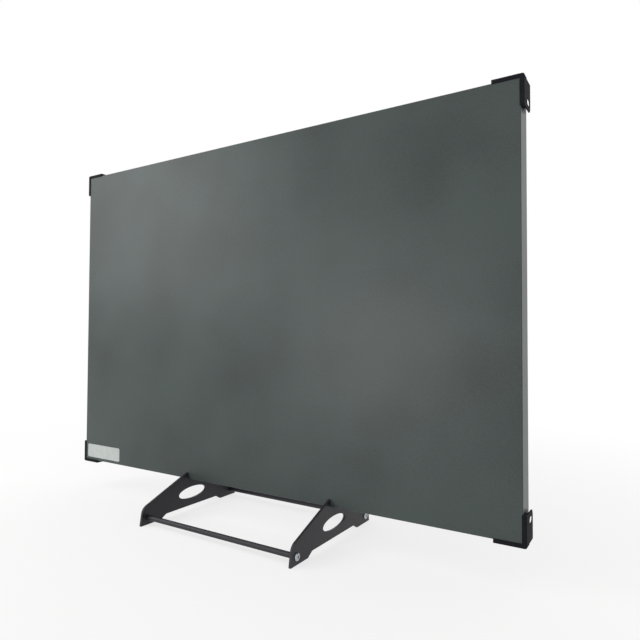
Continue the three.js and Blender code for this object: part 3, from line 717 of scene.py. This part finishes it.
def screwShell(head, ringAt, place, axis, pointing):
    # shank, underside, rim and dome as rings of a circle; the recess's three rings take its own outline
    radius, height, rim, foot = head["radius"], head["height"], headForm["rim"], headForm["domeFoot"]
    rise = np.radians(np.linspace(0, headForm["domeEnd"], 9))
    # the dome: radius x cos a, and the height's share above its foot x sin a / sin(the arc's end)
    share = foot + (1 - foot) * np.sin(rise) / math.sin(rise[-1])
    dome = np.stack([radius * np.cos(rise), height * share], axis=1)
    outer = [[head["shank"], -head["length"]], [head["shank"], 0], [radius - rim, 0], [radius, rim]]
    plain = np.concatenate([outer, dome])
    recess = [[headForm["mouth"], height], [1.0, height - headForm["mouthDepth"]],
        [headForm["taper"], height - head["recess"]]]
    profile = np.concatenate([plain, recess])

    def shape(angle, ringRadius):
        bent = ringRadius.copy()
        bent[len(plain):] = ringRadius[len(plain):] * ringAt(angle)
        return bent

    profile[:, 1] *= pointing
    return turnedShell(profile, head["sides"], place, axis, shape)


def headPlace(node, axis, pointing, height):
    # the plane that the head lies on, at the middle of the screw
    place = middleOf(node)
    low, high = extentOf(node, axis)
    place[axis] = high - height if pointing > 0 else low + height
    return place * mm


for end in ("front", "rear"):
    for side, pointing in (("left", -1), ("right", 1)):
        node = f"{end}_rod_screw_{side}"
        place = headPlace(node, 0, pointing, buttonHead["height"])
        dressed(node, screwShell(buttonHead, hexagonRing, place, aboutX, pointing))
panScrews = [name for name in nodes if name.startswith(("cover_screw", "bracket_screw", "lid_screw"))]
for node in sorted(panScrews):
    place = headPlace(node, 1, 1, panHead["height"])
    dressed(node, screwShell(panHead, crossRing, place, aboutY, 1))
print("stand and screws made")


# ---------- panel casing ----------

tray = {
    "bend": 1.3,  # outer radius of the folds
    "corner": 1.6,
    "leastCorner": 0.3,  # where the inset has used up the corner's radius
    "sheet": 1.0,
    "flange": 14.0,
}


def trayShell():
    # front face, quarter-round fold, side, quarter-round fold, flange, and back along the inside of the sheet
    front, back = extentOf("front_tray", 1)
    depth, bend, sheet, flange = back - front, tray["bend"], tray["sheet"], tray["flange"]
    foldInset, foldLevel = bend * (1 - np.sin(quarterTurn)), bend * (1 - np.cos(quarterTurn))
    inset = np.concatenate([foldInset, foldInset[::-1], [flange, flange, sheet, sheet]])
    level = np.concatenate([foldLevel, depth - foldLevel[::-1], [depth, depth - sheet, depth - sheet, sheet]])
    radii = np.maximum(tray["corner"] - inset, tray["leastCorner"])
    return rectangleShell("front_tray", radii, inset, front + level)


def roundedPlate(node, radius, edge):
    # a rounded rectangle over the node's own box
    (left, right), (front, back), (low, high) = boxOf(node)
    corners = [(left, low), (right, low), (right, high), (left, high)]
    outer = roundedOutline([[a, b, radius] for a, b in corners])
    return plateShell(outer, [], front, back, edge, alongY)


dressed("front_tray", trayShell())
dressed("rear_cover", roundedPlate("rear_cover", 2.0, 0.3))
dressed("front_label", roundedPlate("front_label", 3.0, 0.08))

bracket = {
    "reach": 38.0,
    "wall": 4.8,
    "lip": 1.5,  # how far it laps over the panel's front face
    "lipThickness": 1.0,
    "fullDepth": 14.0,  # of the thick wall
    "earOuter": 4.4,
    "earInner": 3.2,
    "earRadius": 9.0,
    "post": 12.0,
    "postOverlap": 0.5,  # into the wall and into the flange
    "flange": (36.0, 38.5),  # its front and back, from the panel's face
    "flangeInset": 1.0,
    "flangeRound": 3.0,
    "tipRound": 1.0,
    "foldRound": 0.3,  # where the flange, the post and the ear meet
    "outerRound": 1.5,
    "flangeEdge": 0.25,
    "postEdge": 0.2,
    "corner": 3.0,
    "insideCorner": 0.3,
    "endRound": 0.28,
    "nearRound": 1.6,  # on the edge towards the room
    "nose": 12.5,
    "hole": (16.0, 9.0),
    "holeBackWall": 4.0,
    "holeFromCorner": 26.0,
    "cutterStart": -0.01,  # just inside the wall's inner face
    "screwInset": 9.0,
    "screwHole": 3.6,
    "stations": (20, 24, 28, 31, 33.5),  # rings along an arm past the ear's round, from the arm's end
}
ends = {"top_right": (1, 1), "bottom_right": (1, -1), "bottom_left": (-1, -1), "top_left": (-1, 1)}


def bracketProfile():
    # the wall's section, [offset outwards, depth, round]: a lip over the front, the thick wall, the thin ear
    wall, ear, inner = bracket["wall"], bracket["earOuter"], bracket["earInner"]
    lip, front = -bracket["lip"], -bracket["lipThickness"]
    full, depth = bracket["fullDepth"], bracket["flange"][1]
    return roundedOutline([
        [lip, 0, 0.3],
        [lip, front, 0.4],
        [wall, front, bracket["nearRound"]],
        [wall, full, 0.25],
        [ear, full, 0.1],
        [ear, depth, 0.5],
        [inner, depth, 0.5],
        [inner, full, 0.3],
        [0, full, 0.3],
        [0, 0, 0.1],
    ], steps=6)


def roundedEnd(radius, along):
    # how far a round at an arm's end draws back: r - sqrt(r^2 - (r - distance from the end)^2)
    short = np.clip(radius - along, 0, None)
    return radius - np.sqrt(np.clip(radius**2 - short**2, 0, None))


def bracketShell(place, signs):
    # the section goes up one arm, round the corner on an arc of its own offset, and out along the other arm;
    # near each arm's end it shrinks by a quarter round, and the ear's depth follows a round of its own
    section = bracketProfile()
    outward = loopNormals(section)
    reach, earRadius, endRound = bracket["reach"], bracket["earRadius"], bracket["endRound"]
    wide = np.radians(np.linspace(0, 90, 13))
    along = np.unique(np.round(np.concatenate([
        endRound * (1 - np.cos(quarterTurn)), earRadius * (1 - np.cos(wide)), bracket["stations"]]), 4))
    shrink, drop = roundedEnd(endRound, along)[:, None], roundedEnd(earRadius, along)[:, None]
    offset = section[None, :, 0] - outward[None, :, 0] * shrink
    depth = section[None, :, 1] - outward[None, :, 1] * shrink
    full, back = bracket["fullDepth"], bracket["flange"][1]
    share = (back - drop - full) / (back - full)
    depth = np.where(depth > full, full + (depth - full) * share, depth)
    run = np.repeat((along - reach)[:, None], len(section), axis=1)
    o, inside = section[:, 0], bracket["insideCorner"]
    # the corner's radius grows from the inside corner's at the panel to its full size at the ear
    cornerRound = inside + (bracket["corner"] - inside) * np.clip(o / bracket["earOuter"], 0, 1)
    cornerTurn = np.radians(np.linspace(0, 90, 9))[:, None]
    cornerX = o - cornerRound + cornerRound * np.cos(cornerTurn)
    cornerZ = o - cornerRound + cornerRound * np.sin(cornerTurn)
    cornerDepth = np.repeat(section[None, :, 1], len(cornerTurn), axis=0)
    x = np.concatenate([offset, cornerX, run[::-1]])
    z = np.concatenate([run, cornerZ, offset[::-1]])
    y = np.concatenate([depth, cornerDepth, depth[::-1]])
    rows, columns = x.shape
    points = np.stack([x * signs[0], y, z * signs[1]], axis=2).reshape(-1, 3) * mm + place
    cap = filled([np.stack([offset[0], depth[0]], axis=1)])
    last = (rows - 1) * columns
    return facingOut(points, [(gridFaces(rows, columns), True), (cap[:, ::-1], False), (cap + last, False)])


def slotLoop(length, height, steps=16):
    # two half circles joined by straights, its length along the first axis, run counterclockwise
    reach = length / 2 - height / 2
    return np.concatenate([
        arc((reach, 0), height / 2, -90, 90, steps), arc((-reach, 0), height / 2, 90, 270, steps)])


def holeMiddle():
    return bracket["flange"][1] - bracket["holeBackWall"] - bracket["hole"][0] / 2, -bracket["holeFromCorner"]


def ontoArm(points, arm, place, signs):
    # points (height outwards, y, distance along the arm) on the upright or on the level arm
    outwards, y, along = points.T
    x, z = (outwards, along) if arm == 0 else (along, outwards)
    return np.stack([x * signs[0], y, z * signs[1]], axis=1) * mm + place


def slotCutter(arm, place, signs):
    loop = slotLoop(*bracket["hole"]) + holeMiddle()
    count = len(loop)
    low, high = np.full(count, bracket["cutterStart"]), np.full(count, 2 * bracket["wall"])
    points = np.concatenate([np.column_stack([low, loop]), np.column_stack([high, loop])])
    first = np.arange(count)[None]
    parts = [(gridFaces(2, count), True), (first[:, ::-1], False), (first + count, False)]
    return facingOut(ontoArm(points, arm, place, signs), parts)


def bracketFlange(place, signs):
    # the plate behind the panel, and the post that fills the corner between the panel and the ear
    reach, nose, inset, post = (bracket[key] for key in ("reach", "nose", "flangeInset", "post"))
    wide, tip, fold = (bracket[key] for key in ("flangeRound", "tipRound", "foldRound"))
    outerRound = bracket["outerRound"]
    (near, far), overlap = bracket["flange"], bracket["postOverlap"]
    edge = (bracket["earInner"] + bracket["earOuter"]) / 2
    outer = roundedOutline([
        [-reach, -nose, wide],
        [-nose, -reach, wide],
        [-inset, -reach, tip],
        [-inset, -post, fold],
        [edge, -post, fold],
        [edge, edge, outerRound],
        [-post, edge, fold],
        [-post, -inset, fold],
        [-reach, -inset, tip],
    ])
    hole = ellipse((bracket["screwHole"], bracket["screwHole"]), 0, 24) - bracket["screwInset"]
    plate = plateShell(outer, [hole], near, far, bracket["flangeEdge"], alongY)
    fill = roundedOutline([
        [0, -post, fold],
        [edge, -post, fold],
        [edge, edge, outerRound],
        [-post, edge, fold],
        [-post, 0, fold],
        [0, 0, fold],
    ])
    fill = plateShell(fill, [], bracket["fullDepth"] - overlap, near + overlap, bracket["postEdge"], alongY)
    points, parts = joined([plate, fill])
    return facingOut(points * (signs[0], 1, signs[1]) + place, parts)


for end, signs in ends.items():
    (left, right), (front, back), (low, high) = boxOf("front_tray")
    place = np.array([right if signs[0] > 0 else left, front, high if signs[1] > 0 else low]) * mm
    node = f"corner_bracket_{end}"
    piece = dressed(node, bracketShell(place, signs))
    cutAway(piece, [slotCutter(arm, place, signs) for arm in (0, 1)])
    flange = bracketFlange(place, signs)
    addPiece(f"{camelCase(node)}Flange", flange, "panel", materials["black_nylon"])
print("casing and brackets made")


# ---------- junction box on the back ----------

box = {
    "corner": 5.0,
    "cornerSteps": 8,
    "draft": 0.5,  # how far the walls lean in from the cover to the rim
    "footInset": 2.0,
    "mouthInset": 2.0,  # the base's wall at its open end
    "mouthDepth": 3.0,
    "insideCorner": 3.0,
    "rimRound": 0.4,
    "gasketInset": 0.6,
    "gasketBulge": 0.4,
    "gasketCorner": 4.5,
    "lidInset": 0.3,
    "lidFoot": 0.3,  # bevel at the lid's foot
    "lidRound": 1.2,
    "panelInset": 6.0,  # the lid's shallow sunk field
    "panelDepth": 0.5,
    "panelCorner": 2.0,
}


def boxBaseShell():
    front, back = extentOf("junction_box_base", 1)
    corner, draft, rim = box["corner"], box["draft"], box["rimRound"]
    mouth, inside = draft + box["mouthInset"], box["insideCorner"]
    level = [front, front, back - rim, back, back, back - box["mouthDepth"]]
    inset = [box["footInset"], 0.0, draft, draft + rim, mouth, mouth]
    radii = [inside, corner, corner, corner - rim, inside, inside]
    return rectangleShell("junction_box_base", radii, inset, level, box["cornerSteps"])


def gasketShell():
    # the squeezed edge bulges as a half round between the rim and the lid
    front, back = extentOf("junction_box_gasket", 1)
    turn = np.radians(np.linspace(0, 180, 9))
    inset = box["draft"] + box["gasketInset"] + box["gasketBulge"] * (1 - np.sin(turn))
    level = front + (back - front) * (1 - np.cos(turn)) / 2
    radii = np.full(len(turn), box["gasketCorner"])
    return rectangleShell("junction_box_gasket", radii, inset, level, box["cornerSteps"])


def lidShell():
    # side, quarter round, border, and a step down to the sunk field in two slopes
    front, back = extentOf("junction_box_lid", 1)
    foot, edge, step, sunk = box["lidFoot"], box["lidRound"], box["panelInset"], box["panelDepth"]
    inset = np.concatenate([[foot, 0], edge * (1 - np.cos(quarterTurn)), [step, step + 0.3, step + 0.8]])
    level = np.concatenate([[front, front + foot], back - edge + edge * np.sin(quarterTurn),
        [back, back - sunk * 0.7, back - sunk]])
    radii = np.maximum(box["corner"] - inset, box["panelCorner"])
    return rectangleShell("junction_box_lid", radii, inset + box["lidInset"], level, box["cornerSteps"])


dressed("junction_box_base", boxBaseShell())
dressed("junction_box_gasket", gasketShell())
dressed("junction_box_lid", lidShell())

inlet = {
    "bore": 3.3,
    "tip": 4.1,
    "root": 4.7,
    "neck": 4.3,
    "flange": 5.1,
    "flangeDepth": 1.5,
    "flangeGap": 0.1,  # between the flange and the box's wall
    "round": 0.3,
    "ribs": 4,
    "ribDepth": 0.35,
    "sides": 48,
}


def inletShell():
    # a closed section turned about the cable: bore, lip, tapered sleeve with soft ribs, flange and neck
    low, high = extentOf("cable_inlet", 2)
    wall = extentOf("junction_box_base", 2)[0]
    top = wall - inlet["flangeDepth"]
    bore, tip, root, neck = (inlet[key] for key in ("bore", "tip", "root", "neck"))
    flange, small = inlet["flange"], inlet["round"]
    along = np.linspace(0, 1, 41)
    # the sleeve: the taper's radius less a rib depth x (1 - cos(2 pi ribs t)) / 2
    sleeve = tip + (root - tip) * along
    sleeve = sleeve - inlet["ribDepth"] * (1 - np.cos(2 * math.pi * inlet["ribs"] * along)) / 2
    section = np.concatenate([
        [[bore, low + small], [bore + small, low], [tip - small, low]],
        np.stack([sleeve, low + small + (top - low - small) * along], axis=1),
        [[flange - small, top], [flange, top + small], [flange, wall - inlet["flangeGap"]]],
        [[neck, wall], [neck, high], [bore, high]],
    ])
    sides = inlet["sides"]
    angle = np.linspace(0, 2 * math.pi, sides, endpoint=False)
    radius, height = np.repeat(section[:, :1], sides, axis=1), np.repeat(section[:, 1:], sides, axis=1)
    centre = middleOf("cable_inlet")
    points = np.stack([centre[0] + radius * np.cos(angle), centre[1] + radius * np.sin(angle), height], axis=2)
    return facingOut(points.reshape(-1, 3) * mm, [(gridFaces(len(section), sides, wrapRows=True), True)])


dressed("cable_inlet", inletShell())
print("junction box made")


# ---------- floor, background and lamps ----------

studio = {
    "floorColour": "#f4f4f3",
    "floorSize": 12.0,  # metres
    "shadowReach": (0.35, 1.5),  # metres from the middle, between which the floor fades to plain white
    "nearGlow": 0.7,  # how much of the floor is plain white at the object; the rest carries the shadow
    "worldStrength": 0.78,  # of the room's light on the object; the eye and the reflections see 1
}


def seenDirectly(tree):
    # 1 where a camera, glossy or transmission ray looks, 0 for the diffuse light on the object
    rays = addNode(tree, "ShaderNodeLightPath").outputs
    seen = rays["Is Camera Ray"]
    for kind in ("Is Glossy Ray", "Is Transmission Ray"):
        brighter = addNode(tree, "ShaderNodeMath", {"operation": "MAXIMUM"}, {0: seen, 1: rays[kind]})
        seen = brighter.outputs["Value"]
    return seen


def whiteToTheEye():
    world = bpy.data.worlds.new("white room")
    scene.world = world
    world.use_nodes = True
    tree = world.node_tree
    tree.nodes.clear()
    strength = spread(tree, seenDirectly(tree), studio["worldStrength"], 1.0)
    light = addNode(tree, "ShaderNodeBackground", {"Color": (1, 1, 1, 1)}, {"Strength": strength})
    addNode(tree, "ShaderNodeOutputWorld", links={"Surface": light.outputs["Background"]})


def layFloor():
    half = studio["floorSize"] / 2
    mesh = bpy.data.meshes.new("floor")
    corners = [(-half, -half, 0), (half, -half, 0), (half, half, 0), (-half, half, 0)]
    mesh.from_pydata(corners, [], [(0, 1, 2, 3)])
    floor = bpy.data.objects.new("floor", mesh)
    scene.collection.objects.link(floor)
    material = bpy.data.materials.new("matt white floor")
    material.use_nodes = True
    tree = material.node_tree
    tree.nodes.clear()
    matt = addNode(tree, "ShaderNodeBsdfDiffuse", {"Color": linear(studio["floorColour"])})
    glow = addNode(tree, "ShaderNodeEmission", {"Color": (1, 1, 1, 1), "Strength": 1.0})
    place = addNode(tree, "ShaderNodeTexCoord").outputs["Object"]
    distance = addNode(tree, "ShaderNodeVectorMath", {"operation": "LENGTH"}, {0: place})
    near, far = studio["shadowReach"]
    fade = addNode(tree, "ShaderNodeMapRange", {"interpolation_type": "SMOOTHSTEP", "From Min": near,
        "From Max": far, "To Min": studio["nearGlow"], "To Max": 1.0}, {"Value": distance.outputs["Value"]})
    share = addNode(tree, "ShaderNodeMath", {"operation": "MULTIPLY"},
        {0: seenDirectly(tree), 1: fade.outputs["Result"]})
    mixed = addNode(tree, "ShaderNodeMixShader", links={
        0: share.outputs["Value"], 1: matt.outputs["BSDF"], 2: glow.outputs["Emission"]})
    addNode(tree, "ShaderNodeOutputMaterial", links={"Surface": mixed.outputs["Shader"]})
    mesh.materials.append(material)


# places and sizes in metres, power in watts
lamps = {
    "softboxLeft": {
        "place": (-1.1, -0.9, 0.8), "target": (-0.3, 0.0, 0.4), "size": (0.7, 0.7), "power": 4.6},
    "softboxFront": {
        "place": (-0.64, -1.91, 0.27), "target": (0.1, 0.0, 0.3), "size": (0.45, 0.45), "power": 7.6},
    "softboxTop": {
        "place": (-1.6, -0.8, 1.9), "target": (-0.2, 0.0, 0.3), "size": (1.0, 1.0), "power": 7.4},
    "softboxRight": {
        "place": (1.9, -0.3, 1.3), "target": (0.45, 0.0, 0.6), "size": (0.3, 0.3), "power": 0.5},
}


def hangLamps():
    for name, lamp in lamps.items():
        data = bpy.data.lights.new(name, "AREA")
        data.shape = "RECTANGLE"
        data.size, data.size_y = lamp["size"]
        data.energy = lamp["power"]
        light = bpy.data.objects.new(name, data)
        light.location = lamp["place"]
        aim = Vector(lamp["target"]) - Vector(lamp["place"])
        light.rotation_euler = aim.to_track_quat("-Z", "Y").to_euler()
        scene.collection.objects.link(light)


whiteToTheEye()
layFloor()
hangLamps()
print("studio lit")
